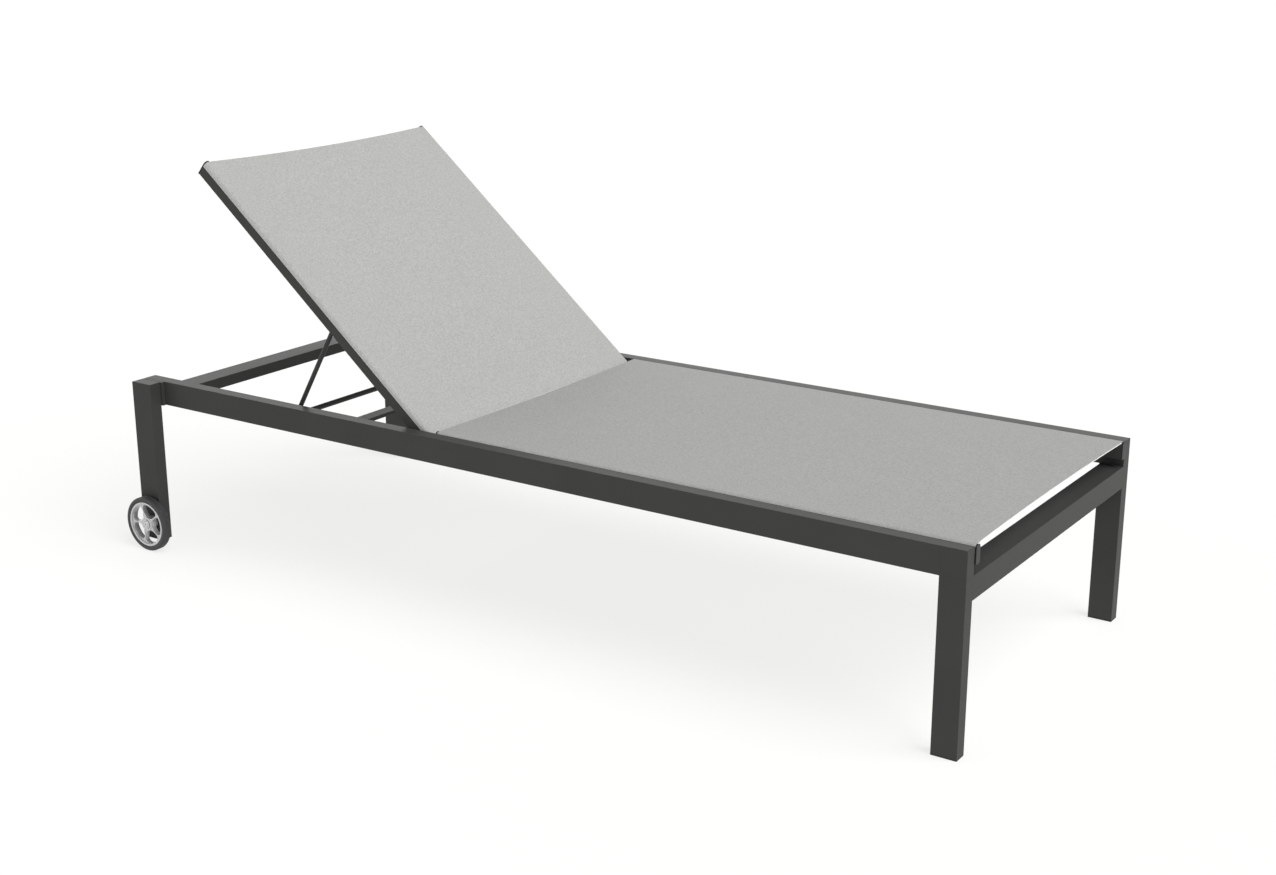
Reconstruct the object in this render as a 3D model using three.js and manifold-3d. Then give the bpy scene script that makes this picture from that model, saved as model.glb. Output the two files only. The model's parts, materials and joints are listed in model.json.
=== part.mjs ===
// Reclining sun lounger: aluminium frame, sling seat, hinged sling backrest with a prop, two wheels.
// Millimetres, +Z up. Inside the lounger group x = 0 is the foot end face of the legs and the head
// end is at negative x; the group is then moved so that the origin is under the middle of the
// footprint. y = 0 is the centre line, and z = 0 is the ground.

import * as THREE from 'three';
import { mergeVertices } from 'three/addons/utils/BufferGeometryUtils.js';
import Module from 'manifold-3d';

const wasm = await Module();
wasm.setup();

// ---- driving dimensions ------------------------------------------------------------------------

const GAP = 0.3;                        // clearance between pieces that touch
const WALL = 2;                         // wall of the rectangular frame tubes

const FRAME_LENGTH = 2000;              // foot end face to head end face
const FRAME_TOP = 387.8;
const RAIL_OUTER_Y = 390.6;             // outer faces of the side rails
const RAIL_THICKNESS = 29.6;
const RAIL_HEIGHT = 53.8;

const LEG_LENGTH_X = 50.4;
const GLIDE_HEIGHT = 2.5;
const FOOT_CROSS_LENGTH_X = 47.8;
const FOOT_CROSS_HEIGHT = 46.2;
const FOOT_CROSS_BOTTOM = 288.9;

const POST_LENGTH_X = 57.5;
const POST_THICKNESS = 29.5;
const POST_BOTTOM = 22.3;
const SPACER_THICKNESS = 9.4;
const SPACER_PROUD = 5;                 // the spacer block shows past the post's foot-side face

const HEAD_CROSS_START = -1859.6;       // foot-side face of the head cross rail
const HEAD_CROSS_LENGTH_X = 54.8;
const HEAD_CROSS_HEIGHT = 24.4;
const MIDDLE_BAR_START = -1461;
const MIDDLE_BAR_LENGTH_X = 32;
const MIDDLE_BAR_BOTTOM = 336;
const MIDDLE_BAR_HEIGHT = 8;

const SLING_RAIL_WIDTH = 15;            // extruded rail with a full-round top and a keder groove
const SLING_RAIL_HEIGHT = 35;
const SLING_RAIL_WALL = 1.8;
const GROOVE_HEIGHT = 4.4;              // groove centre above the middle of the rail
const GROOVE_RADIUS = 3;
const GROOVE_DEPTH_Y = 4.3;             // groove centre in from the rail's outer face
const GROOVE_MOUTH = 2.2;
const WEB_BOTTOM = -5;                  // solid web of the rail, from here to WEB_TOP
const WEB_TOP = 9;
const KEDER_RADIUS = 2.6;
const CAP_FLANGE = 2.2;
const CAP_OVERHANG = 0.7;
const CAP_PLUG_DEPTH = 14;
const FRAME_PLUG_DEPTH = 14;            // plugs in the open ends of the rectangular tubes

const SLING_THICKNESS = 1.2;
const SLING_EDGE_HEIGHT = 3.6;          // lower edge of the sling's sides above the rail's middle

const SEAT_RAIL_Y = 351.1;              // middle of the seat rail
const SEAT_RAIL_HEAD = -1178;           // head end of the seat rails
const SEAT_SLING_HEAD = -1176;
const SPREADER_LENGTH_X = 30;
const SPREADER_WALL = 1.5;
const SPREADER_HEIGHT = 16;
const SPREADER_DROP = 8;                // middle of a spreader below the middle of its rails
const SEAT_SPREADERS = [-420, -980];

const PIVOT = { x: -1210.5, z: 371.5 }; // backrest hinge; also the height of the seat rails' middle
const RECLINE_DEGREES = 40;
const BACK_RAIL_Y = 348.6;
const BACK_RAIL_LENGTH = 778;           // hinge axis to the top end of the rail
const BACK_RAIL_TAIL = 14;              // rail on the other side of the hinge axis
const BACK_SLING_LENGTH = 777;
const BACK_SPREADERS = [-130, -700];
const BACK_KEDER_START = -10;           // the keder stops short of the hinge bolt

const HINGE_BOLT_RADIUS = 3;
const HINGE_HEAD_RADIUS = 6;
const HINGE_HEAD_HEIGHT = 3;
const HINGE_BOLT_END_Y = 368;
const WASHER_RADIUS = 12;

const PROP_PIVOT = -323;                // along the back rail, from the hinge axis
const PROP_LENGTH = 260;
const PROP_ANGLE_DEGREES = -59.75;      // prop arm against the level, head end down
const PROP_TURN_RATIO = -1.414;         // prop arm's turn for each degree of the backrest's
const PROP_ARM_RADIUS = 5;
const PROP_ARM_Y = 335;
const PROP_EYE_RADIUS = 8;
const PROP_EYE_THICKNESS = 8;
const PROP_BAR_RADIUS = 5.85;
const PROP_BAR_HALF_LENGTH = 356;
const PROP_BOLT_RADIUS = 2.8;
const PROP_BOLT_HEAD_RADIUS = 5.5;
const PROP_BOLT_HEAD_HEIGHT = 3;
const PROP_BOLT_DEPTH = 6.5;            // thread length in the back rail's web

const RACK_Y = 344;                     // inner face of the racks
const RACK_BOTTOM = 329;
const RACK_START = -1500;
const RACK_END = -1812;
const RACK_CLEARANCE = 0.6;             // tooth tips below the path of the prop bar
const NOTCH_RADIUS = 6.6;
const NOTCH_DEPTH = 4.5;
const NOTCH_ANGLES = [46, 40, 32, 24, 16];      // backrest angles that the notches hold
const LOWEST_DEGREES = 3.2;             // backrest lying on the head cross rail
const TOOTH_STEPS = 4;
const NOTCH_ARC_STEPS = 6;

const WHEEL_CENTRE_X = -1967;
const WHEEL_RADIUS = 62.5;
const WHEEL_OUTER_Y = 453;
const TYRE_WIDTH = 21;
const TYRE_WALL_HEIGHT = 7;             // tread down to the widest part of the tyre
const TYRE_BEAD_INSET = 1.5;            // the bead is this much narrower on each side
const TYRE_SHOULDER_DROP = 2.2;
const TYRE_SHOULDER_INSET = 1.8;
const TYRE_TREAD_INSET = 6;
const RIM_RADIUS = 51.5;
const RIM_INNER_RADIUS = 47;
const RIM_WIDTH = 19;
const HUB_RADIUS = 16;
const HUB_START_Y = 430.5;
const HUB_END_Y = 450;
const HUB_BORE_RADIUS = 5.4;
const SPOKE_COUNT = 5;
const SPOKE_FIRST_DEGREES = 37;
const SPOKE_WIDTH = 6.5;
const SPOKE_DEPTH = 12;
const HUB_CAP_RADIUS = 10.5;
const HUB_CAP_BORE = 6.4;
const HUB_CAP_THICKNESS = 2.6;
const AXLE_RADIUS = 5;
const AXLE_HEAD_RADIUS = 6;
const AXLE_HEAD_HEIGHT = 2.2;
const NUT_RADIUS = 9;
const NUT_HEIGHT = 6.5;
const AXLE_TIP = 1;                     // axle bolt past the nut

// ---- worked-out places -------------------------------------------------------------------------

const RAIL_BOTTOM = FRAME_TOP - RAIL_HEIGHT;
const RAIL_INNER_Y = RAIL_OUTER_Y - RAIL_THICKNESS;
const CROSS_HALF_WIDTH = RAIL_INNER_Y - GAP;
const POST_INNER_Y = RAIL_OUTER_Y + SPACER_THICKNESS;
const POST_OUTER_Y = POST_INNER_Y + POST_THICKNESS;
const HALF_RAIL = SLING_RAIL_WIDTH / 2;
const RAIL_CROWN = SLING_RAIL_HEIGHT / 2;
const ARC_CENTRE = RAIL_CROWN - HALF_RAIL;
const SEAT_RAIL_FOOT = -GAP;
const HEAD_TIP = WHEEL_CENTRE_X - WHEEL_RADIUS;
const FOOT_TIP = CAP_FLANGE;            // flange of the seat rails' foot caps
const QUARTER_TURN = Math.PI / 2;
const radians = (degrees) => degrees * Math.PI / 180;

const RAIL_ARC_STEPS = 5;               // half the number of facets in a sling rail's arcs
const WHEEL_FACETS = 40;
const BOLT_FACETS = 16;
const NUT_FACETS = 6;

// ---- materials ---------------------------------------------------------------------------------

const finish = (color, roughness, metalness) =>
  new THREE.MeshStandardMaterial({ color, roughness, metalness });

const frameCoat = finish(0x454543, 0.55, 0.1);
const darkPlastic = finish(0x2e2e2e, 0.6, 0);
const slingFabric = finish(0xb4b4b2, 0.85, 0);
const tyreRubber = finish(0x3b3b3b, 0.8, 0);
const rimSilver = finish(0xa3a5a6, 0.4, 0.6);
const brightSteel = finish(0xc4c6c8, 0.3, 1);

// ---- helpers -----------------------------------------------------------------------------------

function toSolid(geometry) {
  const bare = geometry.clone();
  bare.deleteAttribute('normal');
  bare.deleteAttribute('uv');
  const merged = mergeVertices(bare, 1e-4);
  const vertProperties = new Float32Array(merged.attributes.position.array);
  const triVerts = new Uint32Array(merged.index.array);
  return new wasm.Manifold(new wasm.Mesh({ numProp: 3, vertProperties, triVerts }));
}

function toGeometry(solid) {
  const result = solid.getMesh();
  const geometry = new THREE.BufferGeometry();
  geometry.setAttribute('position', new THREE.BufferAttribute(result.vertProperties, result.numProp));
  geometry.setIndex(new THREE.BufferAttribute(result.triVerts, 1));
  geometry.computeVertexNormals();
  return geometry;
}

const cut = (body, ...tools) =>
  toGeometry(tools.reduce((left, tool) => left.subtract(toSolid(tool)), toSolid(body)));

const join = (...bodies) => toGeometry(bodies.map(toSolid).reduce((sum, next) => sum.add(next)));

function box(x0, x1, y0, y1, z0, z1) {
  const geometry = new THREE.BoxGeometry(Math.abs(x1 - x0), Math.abs(y1 - y0), Math.abs(z1 - z0));
  return geometry.translate((x0 + x1) / 2, (y0 + y1) / 2, (z0 + z1) / 2);
}

// A round bar along y, between y0 and y1.
function barAlongY(radius, y0, y1, x, z) {
  const geometry = new THREE.CylinderGeometry(radius, radius, Math.abs(y1 - y0), BOLT_FACETS);
  return geometry.translate(x, (y0 + y1) / 2, z);
}

// A turned piece with its axis along y: the outline holds [radius, y] points.
function turned(outline, x, z, segments) {
  const points = outline.map(([radius, y]) => new THREE.Vector2(radius, y));
  return new THREE.LatheGeometry(points, segments).translate(x, 0, z);
}

function addPiece(parent, name, geometry, material) {
  const mesh = new THREE.Mesh(geometry, material);
  mesh.name = name;
  parent.add(mesh);
  return mesh;
}

// Calls make(side, label) for the right (-y) and the left (+y) side.
function bothSides(make) {
  make(-1, 'right');
  make(1, 'left');
}

// The same outline on either side: on the right side the turned piece is flipped end for end.
function sideOutline(outline, side) {
  const placed = outline.map(([radius, y]) => [radius, side * y]);
  return side > 0 ? placed : placed.reverse();
}

// Section of a sling rail: u points outwards from its middle, w up.
function slingRailShape(side) {
  const shape = new THREE.Shape();
  const mouth = GROOVE_MOUTH / 2;
  const grooveU = HALF_RAIL - GROOVE_DEPTH_Y;
  const opening = Math.asin(mouth / GROOVE_RADIUS);
  shape.moveTo(-HALF_RAIL, -RAIL_CROWN);
  shape.lineTo(HALF_RAIL, -RAIL_CROWN);
  shape.lineTo(HALF_RAIL, GROOVE_HEIGHT - mouth);
  shape.absarc(grooveU, GROOVE_HEIGHT, GROOVE_RADIUS, -opening, opening, true);
  shape.lineTo(HALF_RAIL, GROOVE_HEIGHT + mouth);
  shape.absarc(0, ARC_CENTRE, HALF_RAIL, 0, Math.PI, false);
  const inner = HALF_RAIL - SLING_RAIL_WALL;
  const lower = new THREE.Path();
  lower.moveTo(-inner, SLING_RAIL_WALL - RAIL_CROWN);
  lower.lineTo(-inner, WEB_BOTTOM);
  lower.lineTo(inner, WEB_BOTTOM);
  lower.lineTo(inner, SLING_RAIL_WALL - RAIL_CROWN);
  const upper = new THREE.Path();
  upper.moveTo(-inner, WEB_TOP);
  upper.absarc(0, ARC_CENTRE, inner, Math.PI, 0, true);
  upper.lineTo(inner, WEB_TOP);
  shape.holes.push(lower, upper);
  return side > 0 ? shape : mirrored(shape);
}

// The outline turned over left to right.
function mirrored(shape) {
  const { shape: outline, holes } = shape.extractPoints(RAIL_ARC_STEPS);
  const flip = (points) => points.map((point) => new THREE.Vector2(-point.x, point.y));
  const result = new THREE.Shape(flip(outline));
  holes.forEach((hole) => result.holes.push(new THREE.Path(flip(hole))));
  return result;
}

// A section in the (y, z) plane, extruded along x from xHead to xFoot.
function alongX(shape, xHead, xFoot, y, z) {
  const options = { depth: xFoot - xHead, bevelEnabled: false, curveSegments: RAIL_ARC_STEPS };
  const geometry = new THREE.ExtrudeGeometry(shape, options);
  geometry.rotateX(QUARTER_TURN);
  geometry.rotateZ(QUARTER_TURN);
  return geometry.translate(xHead, y, z);
}

// A rectangular tube along one axis (0 = x, 1 = y, 2 = z), open at its low end, its high end or both.
function tube(low, high, axis, open, wall = WALL) {
  const innerLow = low.map((value) => value + wall);
  const innerHigh = high.map((value) => value - wall);
  if (open !== 'high') innerLow[axis] = low[axis] - wall;
  if (open !== 'low') innerHigh[axis] = high[axis] + wall;
  const outer = box(low[0], high[0], low[1], high[1], low[2], high[2]);
  const inner = box(innerLow[0], innerHigh[0], innerLow[1], innerHigh[1], innerLow[2], innerHigh[2]);
  return cut(outer, inner);
}

// Sorts the two distances from the centre line into low and high y for a side.
const spanY = (side, near, far) => (side > 0 ? [near, far] : [-far, -near]);

// ---- frame -------------------------------------------------------------------------------------

const lounger = new THREE.Group();
lounger.position.x = -(HEAD_TIP + FOOT_TIP) / 2;

function addSideRail(side, label) {
  const [low, high] = spanY(side, RAIL_INNER_Y, RAIL_OUTER_Y);
  const rail = tube([-FRAME_LENGTH, low, RAIL_BOTTOM], [0, high, FRAME_TOP], 0, 'low');
  const boltHole = barAlongY(HINGE_BOLT_RADIUS + GAP, side * (RAIL_INNER_Y - WALL),
    side * (RAIL_INNER_Y + 2 * WALL), PIVOT.x, PIVOT.z);
  addPiece(lounger, `side_rail_${label}`, cut(rail, boltHole), frameCoat);
  const inset = WALL + GAP;
  const plug = box(-FRAME_LENGTH, FRAME_PLUG_DEPTH - FRAME_LENGTH, low + inset, high - inset,
    RAIL_BOTTOM + inset, FRAME_TOP - inset);
  addPiece(lounger, `side_rail_plug_${label}`, plug, darkPlastic);
}

function addFootLeg(side, label) {
  const [low, high] = spanY(side, RAIL_INNER_Y, RAIL_OUTER_Y);
  const legLow = [-LEG_LENGTH_X, low, GLIDE_HEIGHT + GAP];
  const legHigh = [0, high, RAIL_BOTTOM - GAP];
  addPiece(lounger, `foot_leg_${label}`, tube(legLow, legHigh, 2, 'both'), frameCoat);
  const inset = WALL + GAP;
  const foot = box(-LEG_LENGTH_X, 0, low, high, 0, GLIDE_HEIGHT);
  const plug = box(inset - LEG_LENGTH_X, -inset, low + inset, high - inset, 0,
    GLIDE_HEIGHT + FRAME_PLUG_DEPTH);
  addPiece(lounger, `foot_glide_${label}`, join(foot, plug), darkPlastic);
}

function addHeadPost(side, label) {
  const [low, high] = spanY(side, POST_INNER_Y, POST_OUTER_Y);
  const foot = POST_LENGTH_X - FRAME_LENGTH;
  const post = tube([-FRAME_LENGTH, low, POST_BOTTOM], [foot, high, FRAME_TOP], 2, 'low');
  const axleHole = barAlongY(AXLE_RADIUS + GAP, low - WALL, high + WALL, WHEEL_CENTRE_X, WHEEL_RADIUS);
  addPiece(lounger, `head_post_${label}`, cut(post, axleHole), frameCoat);
  const inset = WALL + GAP;
  const plug = box(inset - FRAME_LENGTH, foot - inset, low + inset, high - inset, POST_BOTTOM,
    POST_BOTTOM + FRAME_PLUG_DEPTH);
  addPiece(lounger, `head_post_plug_${label}`, plug, darkPlastic);
  const [near, far] = spanY(side, RAIL_OUTER_Y + GAP, POST_INNER_Y - GAP);
  const spacer = box(-FRAME_LENGTH, foot + SPACER_PROUD, near, far, RAIL_BOTTOM, FRAME_TOP);
  addPiece(lounger, `head_spacer_${label}`, spacer, frameCoat);
}

function addCrossMember(name, xFoot, lengthX, zBottom, height) {
  const low = [xFoot - lengthX, -CROSS_HALF_WIDTH, zBottom];
  const high = [xFoot, CROSS_HALF_WIDTH, zBottom + height];
  addPiece(lounger, name, tube(low, high, 1, 'both'), frameCoat);
}

bothSides(addSideRail);
bothSides(addFootLeg);
bothSides(addHeadPost);
addCrossMember('foot_cross_rail', 0, FOOT_CROSS_LENGTH_X, FOOT_CROSS_BOTTOM, FOOT_CROSS_HEIGHT);
addCrossMember('head_cross_rail', HEAD_CROSS_START, HEAD_CROSS_LENGTH_X,
  FRAME_TOP - HEAD_CROSS_HEIGHT, HEAD_CROSS_HEIGHT);
const middleBar = box(MIDDLE_BAR_START - MIDDLE_BAR_LENGTH_X, MIDDLE_BAR_START,
  -CROSS_HALF_WIDTH, CROSS_HALF_WIDTH, MIDDLE_BAR_BOTTOM, MIDDLE_BAR_BOTTOM + MIDDLE_BAR_HEIGHT);
addPiece(lounger, 'middle_cross_bar', middleBar, frameCoat);

// ---- sling panels ------------------------------------------------------------------------------

// Cap on a rail's end: a flange past the end, and a plug in the rail's lower cavity. toward is 1
// where the flange faces the foot end, -1 where it faces the head end.
function railCap(xEnd, toward, y, z) {
  const half = HALF_RAIL + CAP_OVERHANG;
  const shape = new THREE.Shape();
  shape.moveTo(-half, -RAIL_CROWN - CAP_OVERHANG);
  shape.lineTo(half, -RAIL_CROWN - CAP_OVERHANG);
  shape.absarc(0, ARC_CENTRE, half, 0, Math.PI, false);
  const face = xEnd + toward * GAP;
  const tip = face + toward * CAP_FLANGE;
  const flange = alongX(shape, Math.min(face, tip), Math.max(face, tip), y, z);
  const plugHalf = HALF_RAIL - SLING_RAIL_WALL - GAP;
  const plug = box(xEnd - toward * CAP_PLUG_DEPTH, face + toward * CAP_FLANGE / 2, y - plugHalf,
    y + plugHalf, z + SLING_RAIL_WALL + GAP - RAIL_CROWN, z + WEB_BOTTOM - GAP);
  return join(flange, plug);
}

// Section of a sling that wraps over both rails, whose middles are at y = -railY and y = railY.
function slingShape(railY) {
  const inside = HALF_RAIL + GAP;
  const outside = inside + SLING_THICKNESS;
  const shape = new THREE.Shape();
  shape.moveTo(-railY - outside, SLING_EDGE_HEIGHT);
  shape.absarc(-railY, ARC_CENTRE, outside, Math.PI, QUARTER_TURN, true);
  shape.absarc(railY, ARC_CENTRE, outside, QUARTER_TURN, 0, true);
  shape.lineTo(railY + outside, SLING_EDGE_HEIGHT);
  shape.lineTo(railY + inside, SLING_EDGE_HEIGHT);
  shape.absarc(railY, ARC_CENTRE, inside, 0, QUARTER_TURN, false);
  shape.absarc(-railY, ARC_CENTRE, inside, QUARTER_TURN, Math.PI, false);
  shape.lineTo(-railY - inside, SLING_EDGE_HEIGHT);
  return shape;
}

// A keder rod in the groove of a rail whose middle is at (railY, z).
function keder(side, railY, z, xHead, xFoot) {
  const y = side * (railY + HALF_RAIL - GROOVE_DEPTH_Y);
  const rod = new THREE.CylinderGeometry(KEDER_RADIUS, KEDER_RADIUS, xFoot - xHead, BOLT_FACETS);
  rod.rotateZ(QUARTER_TURN);
  return rod.translate((xHead + xFoot) / 2, y, z + GROOVE_HEIGHT);
}

// Spreader bar between two rails, which holds the sling tight.
function spreader(railY, x, z) {
  const half = railY - HALF_RAIL - GAP;
  const middle = z - SPREADER_DROP;
  const low = [x - SPREADER_LENGTH_X / 2, -half, middle - SPREADER_HEIGHT / 2];
  const high = [x + SPREADER_LENGTH_X / 2, half, middle + SPREADER_HEIGHT / 2];
  return tube(low, high, 1, 'both', SPREADER_WALL);
}

bothSides((side, label) => {
  const y = side * SEAT_RAIL_Y;
  const rail = alongX(slingRailShape(side), SEAT_RAIL_HEAD, SEAT_RAIL_FOOT, y, PIVOT.z);
  addPiece(lounger, `seat_rail_${label}`, rail, frameCoat);
  addPiece(lounger, `seat_rail_foot_cap_${label}`, railCap(SEAT_RAIL_FOOT, 1, y, PIVOT.z), darkPlastic);
  addPiece(lounger, `seat_rail_head_cap_${label}`, railCap(SEAT_RAIL_HEAD, -1, y, PIVOT.z), darkPlastic);
  addPiece(lounger, `seat_keder_${label}`,
    keder(side, SEAT_RAIL_Y, PIVOT.z, SEAT_SLING_HEAD, SEAT_RAIL_FOOT - GAP), darkPlastic);
});
SEAT_SPREADERS.forEach((x, index) => {
  addPiece(lounger, `seat_spreader_${index + 1}`, spreader(SEAT_RAIL_Y, x, PIVOT.z), frameCoat);
});
addPiece(lounger, 'seat_sling',
  alongX(slingShape(SEAT_RAIL_Y), SEAT_SLING_HEAD, SEAT_RAIL_FOOT - GAP, 0, PIVOT.z), slingFabric);

// ---- backrest ----------------------------------------------------------------------------------

// Built flat, with the hinge axis at the group's origin and the top end at negative x.
const backrest = new THREE.Group();
backrest.position.set(PIVOT.x, 0, PIVOT.z);
backrest.rotation.y = radians(RECLINE_DEGREES);
lounger.add(backrest);

bothSides((side, label) => {
  const y = side * BACK_RAIL_Y;
  const inner = BACK_RAIL_Y - HALF_RAIL;
  const blank = alongX(slingRailShape(side), -BACK_RAIL_LENGTH, BACK_RAIL_TAIL, y, 0);
  const hingeHole = barAlongY(HINGE_BOLT_RADIUS + GAP, side * (inner - WALL),
    side * (inner + SLING_RAIL_WIDTH + WALL), 0, 0);
  const propHole = barAlongY(PROP_BOLT_RADIUS + GAP, side * (inner - WALL),
    side * (inner + PROP_BOLT_DEPTH + GAP), PROP_PIVOT, 0);
  addPiece(backrest, `back_rail_${label}`, cut(blank, hingeHole, propHole), frameCoat);
  addPiece(backrest, `back_rail_top_cap_${label}`, railCap(-BACK_RAIL_LENGTH, -1, y, 0), darkPlastic);
  addPiece(backrest, `back_rail_hinge_cap_${label}`, railCap(BACK_RAIL_TAIL, 1, y, 0), darkPlastic);
  addPiece(backrest, `back_keder_${label}`,
    keder(side, BACK_RAIL_Y, 0, -BACK_SLING_LENGTH, BACK_KEDER_START), darkPlastic);
});
BACK_SPREADERS.forEach((x, index) => {
  addPiece(backrest, `back_spreader_${index + 1}`, spreader(BACK_RAIL_Y, x, 0), frameCoat);
});
addPiece(backrest, 'back_sling',
  alongX(slingShape(BACK_RAIL_Y), -BACK_SLING_LENGTH, BACK_RAIL_TAIL, 0, 0), slingFabric);

// Hinge bolt, from the inner side of the back rail into the side rail, and its washer.
bothSides((side, label) => {
  const railInner = BACK_RAIL_Y - HALF_RAIL;
  const headY = railInner - GAP;
  const outline = [[0, headY - HINGE_HEAD_HEIGHT], [HINGE_HEAD_RADIUS, headY - HINGE_HEAD_HEIGHT],
    [HINGE_HEAD_RADIUS, headY], [HINGE_BOLT_RADIUS, headY], [HINGE_BOLT_RADIUS, HINGE_BOLT_END_Y],
    [0, HINGE_BOLT_END_Y]];
  addPiece(lounger, `hinge_bolt_${label}`,
    turned(sideOutline(outline, side), PIVOT.x, PIVOT.z, BOLT_FACETS), brightSteel);
  const slingFace = railInner + SLING_RAIL_WIDTH + GAP + SLING_THICKNESS + GAP;
  const washerEnd = RAIL_INNER_Y - GAP;
  const bore = HINGE_BOLT_RADIUS + GAP;
  const ring = [[bore, slingFace], [WASHER_RADIUS, slingFace], [WASHER_RADIUS, washerEnd],
    [bore, washerEnd], [bore, slingFace]];
  addPiece(lounger, `hinge_washer_${label}`,
    turned(sideOutline(ring, side), PIVOT.x, PIVOT.z, BOLT_FACETS), darkPlastic);
});

// ---- prop --------------------------------------------------------------------------------------

// The arms hang on the back rails, and the bar between them rests in the racks on the side rails.
const prop = new THREE.Group();
prop.position.x = PROP_PIVOT;
prop.rotation.y = radians(PROP_ANGLE_DEGREES - RECLINE_DEGREES);
backrest.add(prop);

bothSides((side, label) => {
  const y = side * PROP_ARM_Y;
  const shaft = new THREE.CylinderGeometry(PROP_ARM_RADIUS, PROP_ARM_RADIUS, PROP_LENGTH, BOLT_FACETS);
  shaft.rotateZ(QUARTER_TURN);
  shaft.translate(-PROP_LENGTH / 2, y, 0);
  const eye = barAlongY(PROP_EYE_RADIUS, y - PROP_EYE_THICKNESS / 2, y + PROP_EYE_THICKNESS / 2, 0, 0);
  const reach = PROP_EYE_THICKNESS;
  const boltHole = barAlongY(PROP_BOLT_RADIUS + GAP, y - reach, y + reach, 0, 0);
  const barSeat = barAlongY(PROP_BAR_RADIUS + GAP, y - reach, y + reach, -PROP_LENGTH, 0);
  addPiece(prop, `prop_arm_${label}`, cut(join(shaft, eye), boltHole, barSeat), frameCoat);

  const headY = PROP_ARM_Y - Math.max(PROP_EYE_THICKNESS / 2, PROP_ARM_RADIUS) - GAP;
  const end = BACK_RAIL_Y - HALF_RAIL + PROP_BOLT_DEPTH;
  const headTop = headY - PROP_BOLT_HEAD_HEIGHT;
  const outline = [[0, headTop], [PROP_BOLT_HEAD_RADIUS, headTop], [PROP_BOLT_HEAD_RADIUS, headY],
    [PROP_BOLT_RADIUS, headY], [PROP_BOLT_RADIUS, end], [0, end]];
  addPiece(backrest, `prop_bolt_${label}`,
    turned(sideOutline(outline, side), PROP_PIVOT, 0, BOLT_FACETS), brightSteel);
});
addPiece(prop, 'prop_bar',
  barAlongY(PROP_BAR_RADIUS, -PROP_BAR_HALF_LENGTH, PROP_BAR_HALF_LENGTH, -PROP_LENGTH, 0), frameCoat);

// Middle of the prop bar, in the lounger group, with the backrest at an angle in degrees.
function propBarAt(degrees) {
  const back = radians(degrees);
  const arm = radians(PROP_ANGLE_DEGREES + PROP_TURN_RATIO * (degrees - RECLINE_DEGREES));
  const x = PIVOT.x + PROP_PIVOT * Math.cos(back) - PROP_LENGTH * Math.cos(arm);
  const z = PIVOT.z - PROP_PIVOT * Math.sin(back) + PROP_LENGTH * Math.sin(arm);
  return { x, z };
}

// The rack's upper edge follows the underside of the bar's path, with a round notch under the bar
// at each of the backrest's positions.
function rackShape() {
  const drop = PROP_BAR_RADIUS + RACK_CLEARANCE;
  const rise = NOTCH_RADIUS - NOTCH_DEPTH;
  const lean = Math.asin(rise / NOTCH_RADIUS);
  const shape = new THREE.Shape();
  const first = propBarAt(NOTCH_ANGLES[0]);
  shape.moveTo(RACK_END, RACK_BOTTOM);
  shape.lineTo(RACK_START, RACK_BOTTOM);
  shape.lineTo(RACK_START, first.z - drop);
  NOTCH_ANGLES.forEach((degrees, index) => {
    const bar = propBarAt(degrees);
    shape.absarc(bar.x, bar.z - drop + rise, NOTCH_RADIUS, -lean, lean - Math.PI, true);
    const next = NOTCH_ANGLES[index + 1] ?? LOWEST_DEGREES;
    for (let step = 1; step < TOOTH_STEPS; step += 1) {
      const tip = propBarAt(degrees + (next - degrees) * step / TOOTH_STEPS);
      shape.lineTo(tip.x, tip.z - drop);
    }
  });
  const last = propBarAt(LOWEST_DEGREES);
  shape.lineTo(last.x, last.z - drop);
  shape.lineTo(RACK_END, last.z - drop);
  return shape;
}

bothSides((side, label) => {
  const depth = CROSS_HALF_WIDTH - RACK_Y;
  const options = { depth, bevelEnabled: false, curveSegments: NOTCH_ARC_STEPS };
  const plate = new THREE.ExtrudeGeometry(rackShape(), options);
  plate.rotateX(QUARTER_TURN);
  plate.translate(0, side > 0 ? CROSS_HALF_WIDTH : -RACK_Y, 0);
  addPiece(lounger, `prop_rack_${label}`, plate, frameCoat);
});

// ---- wheels ------------------------------------------------------------------------------------

function tyreOutline() {
  const bead = RIM_RADIUS + GAP;
  const middle = WHEEL_OUTER_Y - TYRE_WIDTH / 2;
  const near = middle - TYRE_WIDTH / 2;
  const far = middle + TYRE_WIDTH / 2;
  const wall = WHEEL_RADIUS - TYRE_WALL_HEIGHT;
  const shoulder = WHEEL_RADIUS - TYRE_SHOULDER_DROP;
  return [[bead, near + TYRE_BEAD_INSET], [wall, near], [shoulder, near + TYRE_SHOULDER_INSET],
    [WHEEL_RADIUS, near + TYRE_TREAD_INSET], [WHEEL_RADIUS, far - TYRE_TREAD_INSET],
    [shoulder, far - TYRE_SHOULDER_INSET], [wall, far], [bead, far - TYRE_BEAD_INSET],
    [bead, near + TYRE_BEAD_INSET]];
}

const ringOutline = (inner, outer, y0, y1) =>
  [[inner, y0], [outer, y0], [outer, y1], [inner, y1], [inner, y0]];

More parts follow.
